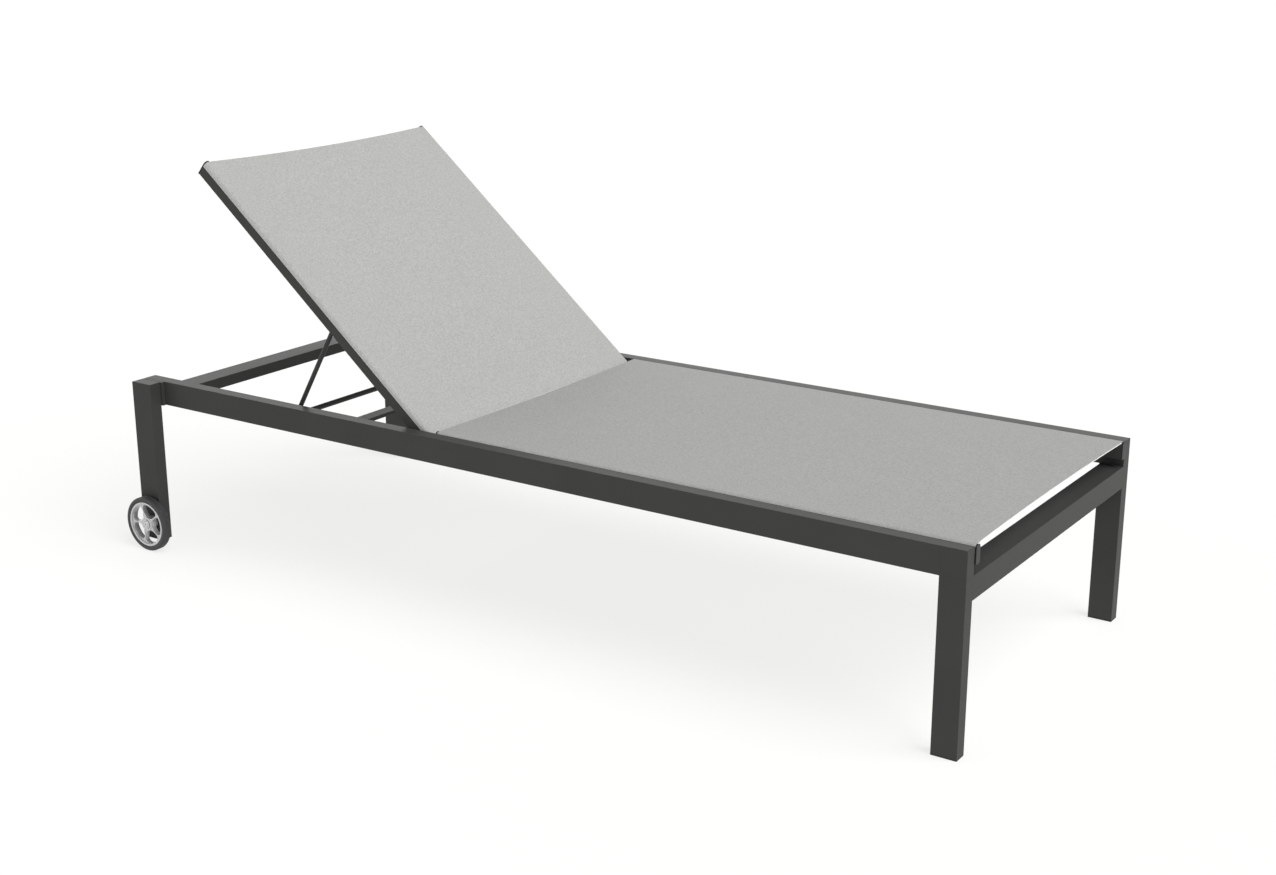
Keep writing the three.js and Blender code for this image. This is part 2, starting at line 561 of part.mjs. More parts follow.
bothSides((side, label) => {
  const x = WHEEL_CENTRE_X;
  const z = WHEEL_RADIUS;
  const middle = WHEEL_OUTER_Y - TYRE_WIDTH / 2;
  addPiece(lounger, `tyre_${label}`,
    turned(sideOutline(tyreOutline(), side), x, z, WHEEL_FACETS), tyreRubber);

  const rimNear = middle - RIM_WIDTH / 2;
  const rimRing = ringOutline(RIM_INNER_RADIUS, RIM_RADIUS, rimNear, rimNear + RIM_WIDTH);
  const hub = ringOutline(HUB_BORE_RADIUS, HUB_RADIUS, HUB_START_Y, HUB_END_Y);
  const spokeInner = (HUB_BORE_RADIUS + HUB_RADIUS) / 2;
  const spokeOuter = (RIM_INNER_RADIUS + RIM_RADIUS) / 2;
  const spokes = Array.from({ length: SPOKE_COUNT }, (_, index) => {
    const spoke = box(spokeInner, spokeOuter, side * (middle - SPOKE_DEPTH / 2),
      side * (middle + SPOKE_DEPTH / 2), -SPOKE_WIDTH / 2, SPOKE_WIDTH / 2);
    spoke.rotateY(-radians(SPOKE_FIRST_DEGREES) - index * 2 * Math.PI / SPOKE_COUNT);
    return spoke.translate(x, 0, z);
  });
  addPiece(lounger, `rim_${label}`, join(turned(sideOutline(rimRing, side), x, z, WHEEL_FACETS),
    turned(sideOutline(hub, side), x, z, WHEEL_FACETS / 2), ...spokes), rimSilver);

  const cap = ringOutline(HUB_CAP_BORE, HUB_CAP_RADIUS, HUB_END_Y + GAP, HUB_END_Y + HUB_CAP_THICKNESS);
  addPiece(lounger, `hub_cap_${label}`,
    turned(sideOutline(cap, side), x, z, WHEEL_FACETS / 2), rimSilver);

  const headY = HUB_END_Y + GAP;
  const nutEnd = POST_INNER_Y - GAP;
  const tip = nutEnd - NUT_HEIGHT - AXLE_TIP;
  const axle = [[0, tip], [AXLE_RADIUS, tip], [AXLE_RADIUS, headY], [AXLE_HEAD_RADIUS, headY],
    [AXLE_HEAD_RADIUS, headY + AXLE_HEAD_HEIGHT], [0, headY + AXLE_HEAD_HEIGHT]];
  addPiece(lounger, `axle_bolt_${label}`, turned(sideOutline(axle, side), x, z, BOLT_FACETS), brightSteel);
  const hexagon = new THREE.CylinderGeometry(NUT_RADIUS, NUT_RADIUS, NUT_HEIGHT, NUT_FACETS);
  hexagon.translate(x, side * (nutEnd - NUT_HEIGHT / 2), z);
  const boreStart = side * (nutEnd - 2 * NUT_HEIGHT);
  const boreEnd = side * (nutEnd + NUT_HEIGHT);
  const bore = barAlongY(AXLE_RADIUS + GAP, boreStart, boreEnd, x, z);
  addPiece(lounger, `axle_nut_${label}`, cut(hexagon, bore), brightSteel);
});

export default lounger;
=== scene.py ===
"""Reclining sun lounger: the looks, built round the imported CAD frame. Metres, +Z up, foot end at +X."""

import json
import math

import bpy
import bmesh
from mathutils import Matrix, Quaternion, Vector
from mathutils.geometry import tessellate_polygon


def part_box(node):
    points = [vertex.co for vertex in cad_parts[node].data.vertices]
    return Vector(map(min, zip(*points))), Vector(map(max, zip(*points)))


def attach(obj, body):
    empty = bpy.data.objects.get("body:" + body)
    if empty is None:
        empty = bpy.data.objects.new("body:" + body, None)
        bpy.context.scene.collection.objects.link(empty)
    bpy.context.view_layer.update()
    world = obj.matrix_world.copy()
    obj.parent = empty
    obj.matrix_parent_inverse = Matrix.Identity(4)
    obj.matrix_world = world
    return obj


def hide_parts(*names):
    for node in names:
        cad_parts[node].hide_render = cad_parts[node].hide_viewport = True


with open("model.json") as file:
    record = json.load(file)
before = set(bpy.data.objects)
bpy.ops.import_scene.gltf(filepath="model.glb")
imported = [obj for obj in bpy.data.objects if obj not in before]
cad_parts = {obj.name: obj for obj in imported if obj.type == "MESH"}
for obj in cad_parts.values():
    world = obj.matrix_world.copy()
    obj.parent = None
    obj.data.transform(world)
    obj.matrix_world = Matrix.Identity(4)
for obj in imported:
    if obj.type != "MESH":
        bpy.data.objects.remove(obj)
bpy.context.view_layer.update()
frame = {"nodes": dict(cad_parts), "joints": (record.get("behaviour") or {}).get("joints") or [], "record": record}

MM = 0.001

# ---- what the frame says -----------------------------------------------------------------------

JOINTS = {joint["name"]: joint for joint in frame["joints"]}
BODIES = frame["record"]["behaviour"]["bodies"]
BODY_OF = {node: body for body, nodes in BODIES.items() for node in nodes}
SLOT_OF = {part["node"]: part["material_slot"] for part in frame["record"]["subparts"]}
SIDES = ((-1, "right"), (1, "left"))

HINGE = Vector(JOINTS["recline"]["pos_m"])
PROP_HINGE = Vector(JOINTS["prop_swing"]["pos_m"])
PROP_BAR = sum(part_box("prop_bar"), Vector()) / 2
RECLINE = math.atan2(PROP_HINGE.z - HINGE.z, HINGE.x - PROP_HINGE.x)
PROP_ANGLE = math.atan2(PROP_BAR.z - PROP_HINGE.z, PROP_HINGE.x - PROP_BAR.x)
SEAT_PLACE = Matrix.Translation((0, 0, HINGE.z))
BACK_PLACE = Matrix.Translation(HINGE) @ Matrix.Rotation(RECLINE, 4, "Y")
PROP_PLACE = Matrix.Translation(PROP_HINGE) @ Matrix.Rotation(PROP_ANGLE, 4, "Y")


def local_box(node, place):
    """Lowest and highest corner of a CAD node in the axes of place."""
    inverse = place.inverted()
    points = [inverse @ vertex.co for vertex in frame["nodes"][node].data.vertices]
    return Vector(map(min, zip(*points))), Vector(map(max, zip(*points)))


def node_radius(node):
    """Radius of a round CAD node whose axis lies along y."""
    low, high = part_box(node)
    return (high.z - low.z) / 2


def node_span(node):
    """Nearest and farthest distance of a CAD node from the centre line."""
    low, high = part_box(node)
    return min(abs(low.y), abs(high.y)), max(abs(low.y), abs(high.y))


# ---- camera, floor and light -------------------------------------------------------------------

CAMERA_PLACE = (2.1657, -3.0792, 1.4618)
CAMERA_AZIMUTH = math.radians(34.027)
CAMERA_ELEVATION = math.radians(16.938)
CAMERA_ROLL = math.radians(-0.054)
CAMERA_LENS = 51.83
CAMERA_SENSOR = 36.0
FLOOR_SIZE = 400.0
FLOOR_WHITE = 0.25
FLOOR_GLOW = 0.74
STUDIO_TINT = (1.0, 1.0, 0.985)
SKY_STRENGTH = 0.25
HEAD_HORIZON_STRENGTH = 2.2     # low in the sky on the head side
FOOT_HORIZON_STRENGTH = 0.6     # and on the foot side
HORIZON_BLEND = 0.3             # x of the direction where one side's light has become the other's
HORIZON_TOP = 0.25              # z of the direction where the horizon starts to fade
SKY_START = 0.6                 # and where it has become the sky
KEY_STRENGTH = 2.7
KEY_SPREAD = math.radians(50)
KEY_ELEVATION = math.radians(52)


def add_camera():
    flat = math.cos(CAMERA_ELEVATION)
    back = Vector((math.sin(CAMERA_AZIMUTH) * flat, -math.cos(CAMERA_AZIMUTH) * flat,
                   math.sin(CAMERA_ELEVATION)))
    data = bpy.data.cameras.new("camera")
    data.lens = CAMERA_LENS
    data.sensor_width = CAMERA_SENSOR
    camera = bpy.data.objects.new("camera", data)
    camera.location = CAMERA_PLACE
    camera.rotation_mode = "QUATERNION"
    roll = Quaternion((0, 0, 1), CAMERA_ROLL)
    camera.rotation_quaternion = (-back).to_track_quat("-Z", "Y") @ roll
    bpy.context.scene.collection.objects.link(camera)
    bpy.context.scene.camera = camera


def add_world():
    """Even light from all round: brighter near the horizon, most of all on the head side."""
    world = bpy.data.worlds.new("studio")
    world.use_nodes = True
    tree = world.node_tree
    background = tree.nodes["Background"]
    background.inputs["Color"].default_value = (*STUDIO_TINT, 1)
    place = tree.nodes.new("ShaderNodeTexCoord")
    axes = tree.nodes.new("ShaderNodeSeparateXYZ")
    horizon = tree.nodes.new("ShaderNodeMapRange")
    horizon.inputs["From Min"].default_value = -HORIZON_BLEND
    horizon.inputs["From Max"].default_value = HORIZON_BLEND
    horizon.inputs["To Min"].default_value = HEAD_HORIZON_STRENGTH
    horizon.inputs["To Max"].default_value = FOOT_HORIZON_STRENGTH
    level = tree.nodes.new("ShaderNodeMapRange")
    level.interpolation_type = "SMOOTHSTEP"
    level.inputs["From Min"].default_value = HORIZON_TOP
    level.inputs["From Max"].default_value = SKY_START
    level.inputs["To Max"].default_value = SKY_STRENGTH
    tree.links.new(place.outputs["Generated"], axes.inputs["Vector"])
    tree.links.new(axes.outputs["X"], horizon.inputs["Value"])
    tree.links.new(axes.outputs["Z"], level.inputs["Value"])
    tree.links.new(horizon.outputs["Result"], level.inputs["To Min"])
    tree.links.new(level.outputs["Result"], background.inputs["Strength"])
    bpy.context.scene.world = world


def add_key():
    """A very soft key light from above the foot end."""
    data = bpy.data.lights.new("key", "SUN")
    data.energy = KEY_STRENGTH
    data.angle = KEY_SPREAD
    data.color = STUDIO_TINT
    key = bpy.data.objects.new("key", data)
    key.rotation_mode = "QUATERNION"
    towards = Vector((math.cos(KEY_ELEVATION), 0, math.sin(KEY_ELEVATION)))
    key.rotation_quaternion = towards.to_track_quat("Z", "Y")
    bpy.context.scene.collection.objects.link(key)


def add_floor():
    """A pale floor that glows, so that it stays white and still takes a faint shadow."""
    half = FLOOR_SIZE / 2
    corners = [(-half, -half, 0), (half, -half, 0), (half, half, 0), (-half, half, 0)]
    mesh = bpy.data.meshes.new("floor")
    mesh.from_pydata(corners, [], [(0, 1, 2, 3)])
    floor = bpy.data.objects.new("floor", mesh)
    bpy.context.scene.collection.objects.link(floor)
    material = bpy.data.materials.new("floor_white")
    material.use_nodes = True
    shader = material.node_tree.nodes["Principled BSDF"]
    shader.inputs["Base Color"].default_value = (*[FLOOR_WHITE * tint for tint in STUDIO_TINT], 1)
    shader.inputs["Roughness"].default_value = 1.0
    shader.inputs["Specular IOR Level"].default_value = 0.0
    shader.inputs["Emission Color"].default_value = (*STUDIO_TINT, 1)
    shader.inputs["Emission Strength"].default_value = FLOOR_GLOW
    mesh.materials.append(material)


# ---- materials ---------------------------------------------------------------------------------

class Nodes:
    """A new node material, with its shader and short ways to add and join nodes."""

    def __init__(self, name, roughness, metallic=0.0):
        self.material = bpy.data.materials.new(name)
        self.material.use_nodes = True
        self.tree = self.material.node_tree
        self.shader = self.tree.nodes["Principled BSDF"]
        self.shader.inputs["Roughness"].default_value = roughness
        self.shader.inputs["Metallic"].default_value = metallic
        self.place = self.add("ShaderNodeTexCoord").outputs["Object"]

    def add(self, kind, **inputs):
        node = self.tree.nodes.new(kind)
        for name, value in inputs.items():
            self.feed(node.inputs[name.replace("_", " ")], value)
        return node

    def feed(self, socket, value):
        if isinstance(value, bpy.types.NodeSocket):
            self.tree.links.new(value, socket)
        else:
            socket.default_value = value

    def noise(self, scale, detail=2.0):
        return self.add("ShaderNodeTexNoise", Vector=self.place, Scale=scale, Detail=detail).outputs["Fac"]

    def math(self, operation, *values):
        node = self.tree.nodes.new("ShaderNodeMath")
        node.operation = operation
        for socket, value in zip(node.inputs, values):
            self.feed(socket, value)
        return node.outputs[0]

    def roughness(self, factor, low, high):
        """Roughness that is low where factor is 0 and high where it is 1."""
        node = self.add("ShaderNodeMapRange", Value=factor, To_Min=low, To_Max=high)
        self.feed(self.shader.inputs["Roughness"], node.outputs["Result"])

    def stretched(self, value, low, high):
        """The value's range from low to high, spread over 0 to 1."""
        node = self.add("ShaderNodeMapRange", Value=value, From_Min=low, From_Max=high)
        return node.outputs["Result"]

    def colour(self, base, factor, spread):
        """The base colour, made darker and lighter by up to spread as factor goes from 0 to 1."""
        ramp = self.tree.nodes.new("ShaderNodeValToRGB")
        ramp.color_ramp.elements[0].color = (*[channel * (1 - spread) for channel in base], 1)
        ramp.color_ramp.elements[1].color = (*[channel * (1 + spread) for channel in base], 1)
        self.feed(ramp.inputs["Fac"], factor)
        self.feed(self.shader.inputs["Base Color"], ramp.outputs["Color"])

    def mixed(self, factor, first, second):
        """The first colour where factor is 0, the second where it is 1."""
        node = self.tree.nodes.new("ShaderNodeMix")
        node.data_type = "RGBA"
        sockets = {socket.identifier: socket for socket in node.inputs}
        self.feed(sockets["Factor_Float"], factor)
        self.feed(sockets["A_Color"], first)
        self.feed(sockets["B_Color"], second)
        return next(socket for socket in node.outputs if socket.identifier == "Result_Color")

    def bump(self, height, distance, strength=1.0):
        node = self.add("ShaderNodeBump", Height=height, Distance=distance, Strength=strength)
        self.feed(self.shader.inputs["Normal"], node.outputs["Normal"])


FRAME_COLOUR = (0.05, 0.05, 0.0492)
FRAME_SPECULAR = 0.03
FRAME_ROUGHNESS = 0.32
ROUGHNESS_SPREAD = 0.04
PLASTIC_COLOUR = (0.02, 0.02, 0.02)
# Seat and backrest are one cloth: the backrest's copy is painted lighter, painted light for the stronger light
# that falls on it.
SEAT_COLOUR = (0.345, 0.345, 0.343)
BACK_PAINTED_LIGHT_COLOUR = (0.395, 0.395, 0.393)
FABRIC_SPECULAR = 0.25
FLECK_SCALE = 260.0
FLECK_SPREAD = 0.2
WEAVE_SHARE = 0.25              # of the cloth's change of tone
FLECK_SHARE = 0.65
FLECK_HEIGHT = 0.4              # against the weave's
RUBBER_COLOUR = (0.03, 0.03, 0.03)
RIM_COLOUR = (0.5, 0.505, 0.51)
STEEL_COLOUR = (0.62, 0.63, 0.64)
# Painted highlight: a paler tone painted along the hems' folds, brighter on the seat than on the backrest.
SEAT_FOLD_HIGHLIGHT_COLOUR = (0.8, 0.8, 0.79)
BACK_FOLD_HIGHLIGHT_COLOUR = (0.5, 0.5, 0.495)
FOLD_HIGHLIGHT_MARK = "fold_highlight"
YARN_PITCH = 1.5 * MM


def powder_coat():
    """Satin powder coat: an orange-peel grain, with faint cloudy changes of tone and gloss."""
    nodes = Nodes("frame_coat", FRAME_ROUGHNESS)
    nodes.shader.inputs["Specular IOR Level"].default_value = FRAME_SPECULAR
    cloud = nodes.noise(scale=9.0, detail=3.0)
    nodes.colour(FRAME_COLOUR, cloud, spread=0.10)
    nodes.roughness(cloud, low=FRAME_ROUGHNESS - ROUGHNESS_SPREAD, high=FRAME_ROUGHNESS + ROUGHNESS_SPREAD)
    nodes.bump(nodes.noise(scale=1400.0), distance=0.12 * MM, strength=0.35)
    return nodes.material


def moulded_plastic():
    """Matt black plastic with a fine spark-eroded grain."""
    nodes = Nodes("dark_plastic", roughness=0.55)
    nodes.colour(PLASTIC_COLOUR, nodes.noise(scale=60.0), spread=0.12)
    nodes.bump(nodes.noise(scale=2200.0, detail=1.0), distance=0.05 * MM, strength=0.5)
    return nodes.material


def mesh_fabric(name, colour, fold_highlight_colour):
    """Coated mesh cloth: warp and weft yarns that pass over and under, with flecks in the yarn, and a
    painted highlight, a paler tone, on the fold of the hem."""
    nodes = Nodes(name, roughness=0.72)
    nodes.shader.inputs["Specular IOR Level"].default_value = FABRIC_SPECULAR
    axes = nodes.add("ShaderNodeSeparateXYZ", Vector=nodes.place)
    along = axes.outputs["X"]
    across = nodes.math("ADD", axes.outputs["Y"], axes.outputs["Z"])
    turn = math.pi / YARN_PITCH
    warp = nodes.math("SINE", nodes.math("MULTIPLY", along, turn))
    weft = nodes.math("SINE", nodes.math("MULTIPLY", across, turn))
    weave = nodes.math("MULTIPLY_ADD", nodes.math("MULTIPLY", warp, weft), 0.5, 0.5)
    fleck = nodes.stretched(nodes.noise(scale=FLECK_SCALE), low=0.3, high=0.7)
    cloud = nodes.noise(scale=14.0)
    weave_part = nodes.math("MULTIPLY", weave, WEAVE_SHARE)
    fleck_part = nodes.math("MULTIPLY", fleck, FLECK_SHARE)
    cloud_part = nodes.math("MULTIPLY", cloud, 1 - WEAVE_SHARE - FLECK_SHARE)
    tone = nodes.math("ADD", nodes.math("ADD", weave_part, fleck_part), cloud_part)
    nodes.colour(colour, tone, spread=FLECK_SPREAD)
    # Painted highlight: the marked hem fold gets the paler fold colour.
    fold_highlight = nodes.add("ShaderNodeAttribute")
    fold_highlight.attribute_name = FOLD_HIGHLIGHT_MARK
    cloth = nodes.shader.inputs["Base Color"].links[0].from_socket
    edged = nodes.mixed(fold_highlight.outputs["Fac"], cloth, (*fold_highlight_colour, 1))
    nodes.feed(nodes.shader.inputs["Base Color"], edged)
    height = nodes.math("ADD", weave, nodes.math("MULTIPLY", fleck, FLECK_HEIGHT))
    nodes.bump(height, distance=0.16 * MM, strength=0.6)
    return nodes.material


def tyre_rubber():
    """Dusty black rubber."""
    nodes = Nodes("tyre_rubber", roughness=0.62)
    dust = nodes.noise(scale=130.0, detail=4.0)
    nodes.colour(RUBBER_COLOUR, dust, spread=0.25)
    nodes.roughness(dust, low=0.55, high=0.72)
    nodes.bump(nodes.noise(scale=1800.0), distance=0.06 * MM, strength=0.5)
    return nodes.material


def rim_silver():
    """Silver paint with a fine metallic grain."""
    nodes = Nodes("rim_silver", roughness=0.38, metallic=0.35)
    nodes.colour(RIM_COLOUR, nodes.noise(scale=90.0, detail=3.0), spread=0.06)
    nodes.bump(nodes.noise(scale=1500.0), distance=0.05 * MM, strength=0.35)
    return nodes.material


def bright_steel():
    """Plated steel, a little uneven in its polish."""
    nodes = Nodes("bright_steel", roughness=0.25, metallic=1.0)
    polish = nodes.noise(scale=700.0)
    nodes.colour(STEEL_COLOUR, polish, spread=0.06)
    nodes.roughness(polish, low=0.2, high=0.34)
    return nodes.material


MATERIALS = {
    "frame_coat": powder_coat(),
    "dark_plastic": moulded_plastic(),
    "tyre_rubber": tyre_rubber(),
    "rim_silver": rim_silver(),
    "bright_steel": bright_steel(),
}

SLING_MATERIALS = {
    "seat_sling": mesh_fabric("seat_fabric", SEAT_COLOUR, SEAT_FOLD_HIGHLIGHT_COLOUR),
    # The backrest's cloth is a lighter copy of the seat's: painted light.
    "back_sling": mesh_fabric("back_fabric_painted_light", BACK_PAINTED_LIGHT_COLOUR, BACK_FOLD_HIGHLIGHT_COLOUR),
}

# ---- mesh helpers ------------------------------------------------------------------------------

SMOOTH_ANGLE = math.radians(32)
MERGE_DISTANCE = 0.001 * MM
NEARLY_STRAIGHT = math.radians(170)
EDGE_SHARE = 0.49               # the most of an edge that a rounding takes at one end
MITRE_LIMIT = 0.5


def make_object(name, points, faces, place=None):
    """A new object; points are in the axes of place."""
    mesh = bpy.data.meshes.new(name)
    mesh.from_pydata([tuple(point) for point in points], [], faces)
    shape = bmesh.new()
    shape.from_mesh(mesh)
    bmesh.ops.remove_doubles(shape, verts=shape.verts, dist=MERGE_DISTANCE)
    bmesh.ops.recalc_face_normals(shape, faces=shape.faces)
    shape.to_mesh(mesh)
    shape.free()
    mesh.shade_smooth()
    mesh.set_sharp_from_angle(angle=SMOOTH_ANGLE)
    made = bpy.data.objects.new(name, mesh)
    made.matrix_world = place or Matrix.Identity(4)
    bpy.context.scene.collection.objects.link(made)
    return made


def loft(name, rings, place=None, wrap=False):
    """A closed skin over rings of equal size; wrap joins the last ring to the first."""
    count = len(rings)
    size = len(rings[0])
    faces = []
    for ring in range(count if wrap else count - 1):
        here = ring * size
        there = (ring + 1) % count * size
        for index in range(size):
            after = (index + 1) % size
            faces.append((here + index, here + after, there + after, there + index))
    if not wrap:
        last = (count - 1) * size
        faces.append(tuple(range(size - 1, -1, -1)))
        faces.append(tuple(range(last, last + size)))
    return make_object(name, [point for ring in rings for point in ring], faces, place)


def joined(name, pieces):
    """One object from several with the same place."""
    with bpy.context.temp_override(active_object=pieces[0], selected_editable_objects=pieces):
        bpy.ops.object.join()
    pieces[0].name = name
    return pieces[0]


def rounded(points, radius, steps=4, closed=True):
    """The outline with each corner rounded; an open outline keeps its two ends."""
    count = len(points)
    corners = [Vector(point) for point in points]
    made = []
    for index, corner in enumerate(corners):
        if not closed and index in (0, count - 1):
            made.append(corner)
            continue
        before = corners[index - 1] - corner
        after = corners[(index + 1) % count] - corner
        bend = before.angle(after)
        if bend > NEARLY_STRAIGHT:
            made.append(corner)
            continue
        longest = EDGE_SHARE * min(before.length, after.length)
        reach = min(radius / math.tan(bend / 2), longest)
        start = corner + before.normalized() * reach
        end = corner + after.normalized() * reach
        for step in range(steps + 1):
            part = step / steps
            rest = 1 - part
            made.append(start * rest ** 2 + corner * 2 * part * rest + end * part ** 2)
    return made


def stand_in(piece, node):
    """piece is shown in place of the CAD node, with its body, slot and material."""
    slot = SLOT_OF[node]
    piece.data.materials.clear()
    piece.data.materials.append(SLING_MATERIALS.get(node) or MATERIALS[slot])
    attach(piece, BODY_OF[node])
    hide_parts(node)
    even = piece.modifiers.new("even_faces", "WEIGHTED_NORMAL")
    even.keep_sharp = True
    return piece


# ---- rectangular tubes -------------------------------------------------------------------------

TUBE_WALL = 2 * MM
TUBE_CORNER = 0.8 * MM
END_CORNER = 0.8 * MM
WELD_DEPTH = 1.7 * MM
TUBE_LIP = 0.4 * MM
CORNER_STEPS = 5
LEAST_CORNER = 0.3 * MM
END_STEPS = 3
BAR_CORNER = 1.0 * MM
JOINT_GAP = 0.3 * MM
SPREADER_WALL = 1.5 * MM


def section(low, high, axis, at, inset, corner):
    """A rounded rectangle across one axis of the box low to high, set in by inset."""
    first, second = [other for other in range(3) if other != axis]
    radius = max(corner - inset, LEAST_CORNER)
    left, right = low[first] + inset, high[first] - inset
    bottom, top = low[second] + inset, high[second] - inset
    centres = ((right - radius, top - radius), (left + radius, top - radius),
               (left + radius, bottom + radius), (right - radius, bottom + radius))
    ring = []
    for quarter, (middle_u, middle_v) in enumerate(centres):
        for step in range(CORNER_STEPS + 1):
            angle = (quarter + step / CORNER_STEPS) * math.pi / 2
            point = Vector((0, 0, 0))
            point[axis] = at
            point[first] = middle_u + radius * math.cos(angle)
            point[second] = middle_v + radius * math.sin(angle)
            ring.append(point)
    return ring


def rounded_end(low, high, axis, at, inward, corner, end_corner):
    """Rings that round a closed end: from the full section to the end face at at."""
    rings = []
    for step in range(END_STEPS + 1):
        angle = step / END_STEPS * math.pi / 2
        depth = end_corner * (1 - math.sin(angle))
        inset = end_corner * (1 - math.cos(angle))
        rings.append(section(low, high, axis, at + inward * depth, inset, corner))
    return rings


def tube(node, axis, open_ends, welded=(), wall=TUBE_WALL, place=None):
    """A rectangular tube in place of a CAD node. open_ends and welded hold -1 for the low end and 1
    for the high one; a welded end goes into the wall of the tube that it meets."""
    low, high = local_box(node, place or Matrix.Identity(4))
    start = low[axis] - (WELD_DEPTH if -1 in welded else 0)
    end = high[axis] + (WELD_DEPTH if 1 in welded else 0)
    both = len(open_ends) == 2
    if both:
        layers = [(start + TUBE_LIP, 0), (end - TUBE_LIP, 0), (end, TUBE_LIP), (end, wall),
                  (start, wall), (start, TUBE_LIP)]
    else:
        side = open_ends[0]
        mouth, blind = (start, end) if side < 0 else (end, start)
        layers = [(blind + side * wall, wall), (mouth, wall), (mouth, TUBE_LIP),
                  (mouth - side * TUBE_LIP, 0)]
    rings = [section(low, high, axis, at, inset, TUBE_CORNER) for at, inset in layers]
    if not both:
        rings += rounded_end(low, high, axis, blind, side, TUBE_CORNER, END_CORNER)
    return stand_in(loft(f"{node}_tube", rings, place, wrap=both), node)


def solid_bar(node, axis, longer):
    """A solid rectangular bar in place of a CAD node, with all its edges rounded, and made longer at
    both its ends along y."""
    low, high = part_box(node)
    low.y -= longer
    high.y += longer
    rings = rounded_end(low, high, axis, low[axis], 1, BAR_CORNER, BAR_CORNER)[::-1]
    rings += rounded_end(low, high, axis, high[axis], -1, BAR_CORNER, BAR_CORNER)
    return stand_in(loft(f"{node}_bar", rings), node)


def make_tubes():
    for _, label in SIDES:
        tube(f"side_rail_{label}", 0, [-1])
        tube(f"foot_leg_{label}", 2, [-1, 1], welded=[1])
        tube(f"head_post_{label}", 2, [-1])
        solid_bar(f"head_spacer_{label}", 0, JOINT_GAP)
    tube("foot_cross_rail", 1, [-1, 1], welded=[-1, 1])
    tube("head_cross_rail", 1, [-1, 1], welded=[-1, 1])
    solid_bar("middle_cross_bar", 1, WELD_DEPTH)
    for number in (1, 2):
        tube(f"seat_spreader_{number}", 1, [-1, 1], wall=SPREADER_WALL)
        tube(f"back_spreader_{number}", 1, [-1, 1], wall=SPREADER_WALL, place=BACK_PLACE)


# ---- extruded and turned shapes ----------------------------------------------------------------

EDGE_STEPS = 3
BOLT_STEPS = 48
CAP_STEPS = 64
HUB_STEPS = 72
WINDOW_RING_STEPS = 96
WHEEL_STEPS = 144


def arc(centre, radius, start, end, steps):
    """Points on an arc between two angles in radians, with both ends."""
    made = []
    for step in range(steps + 1):
        angle = start + (end - start) * step / steps
        made.append(Vector((centre[0] + radius * math.cos(angle), centre[1] + radius * math.sin(angle))))
    return made


def circle(radius, u, v, steps):
    return arc((u, v), radius, 0, 2 * math.pi, steps)[:-1]


def drawn_in(outline, amount):
    """The outline moved into the material by amount: a hole runs clockwise, so it grows."""
    made = []
    for index, point in enumerate(outline):
        before = (point - outline[index - 1]).normalized()
        after = (outline[(index + 1) % len(outline)] - point).normalized()
        inward = Vector((-before.y - after.y, before.x + after.x))
        reach = amount / max(inward.length / 2, MITRE_LIMIT)
        made.append(point + inward.normalized() * reach)
    return made


def end_layers(start, end, edge):
    """(place along the axis, inset) of the layers of a bar whose end edges are rounded."""
    if not edge:
        return [(start, 0), (end, 0)]
    angles = [step / EDGE_STEPS * math.pi / 2 for step in range(EDGE_STEPS + 1)]
    curve = [(edge * (1 - math.sin(angle)), edge * (1 - math.cos(angle))) for angle in angles]
    near = [(start + depth, inset) for depth, inset in reversed(curve)]
    return near + [(end - depth, inset) for depth, inset in curve]


def extruded(name, outlines, start, end, edge=0, axis=0, place=None):
    """A bar along axis with the given section: its outline counterclockwise, then its holes
    clockwise. edge is how far its end edges are rounded."""
    points = []
    faces = []
    caps = []
    size = sum(len(outline) for outline in outlines)
    layers = end_layers(start, end, edge)
    for at, inset in layers:
        ring = [drawn_in(outline, inset) if inset else outline for outline in outlines]
        for u, v in [point for outline in ring for point in outline]:
            points.append((at, u, v) if axis == 0 else (u, at, v))
        caps.append([[Vector((u, v, 0)) for u, v in outline] for outline in ring])
    for layer in range(len(layers) - 1):
        first = layer * size
        for outline in outlines:
            count = len(outline)
            for index in range(count):
                here = first + index
                after = first + (index + 1) % count
                faces.append((here, after, after + size, here + size))
            first += count
    for layer in (0, len(layers) - 1):
        for triangle in tessellate_polygon(caps[layer]):
            faces.append(tuple(layer * size + index for index in triangle))
    return make_object(name, points, faces, place)


def turned(name, outline, x, z, steps, place=None):
    """A solid turned round an axis along y. The outline of (radius, y) points closes on itself, or
    starts and ends on the axis."""
    size = len(outline)
    spans = size - 1 if outline[0][0] == 0 else size
    points = []
    faces = []
    for step in range(steps):
        angle = 2 * math.pi * step / steps
        for radius, y in outline:
            points.append((x + radius * math.cos(angle), y, z + radius * math.sin(angle)))
        here = step * size
        there = (step + 1) % steps * size
        for index in range(spans):
            after = (index + 1) % size
            faces.append((here + index, here + after, there + after, there + index))
    return make_object(name, points, faces, place)


def ring_outline(inner, outer, start, end, corner):
    """A ring's section with rounded corners."""
    return rounded([(inner, start), (outer, start), (outer, end), (inner, end)], corner)


def on_side(side, outline):
    """An outline whose y is a distance from the centre line, put on one side of it."""
    return [(radius, side * y) for radius, y in outline]


# ---- sling rails -------------------------------------------------------------------------------

RAIL_WALL = 1.8 * MM
RAIL_CORNER = 0.8 * MM
WEB_BOTTOM = -5 * MM
GROOVE_HEIGHT = 4.4 * MM
GROOVE_RADIUS = 3 * MM
GROOVE_INSET = 4.3 * MM
GROOVE_MOUTH = 2.2 * MM
ARC_STEPS = 16
CAP_OVERHANG = 0.7 * MM
CAP_FLANGE = 2.2 * MM
CAP_EDGE = 0.8 * MM
CAP_PLUG_DEPTH = 14 * MM
CAP_GAP = 0.3 * MM
RAIL_CORNER_STEPS = 4

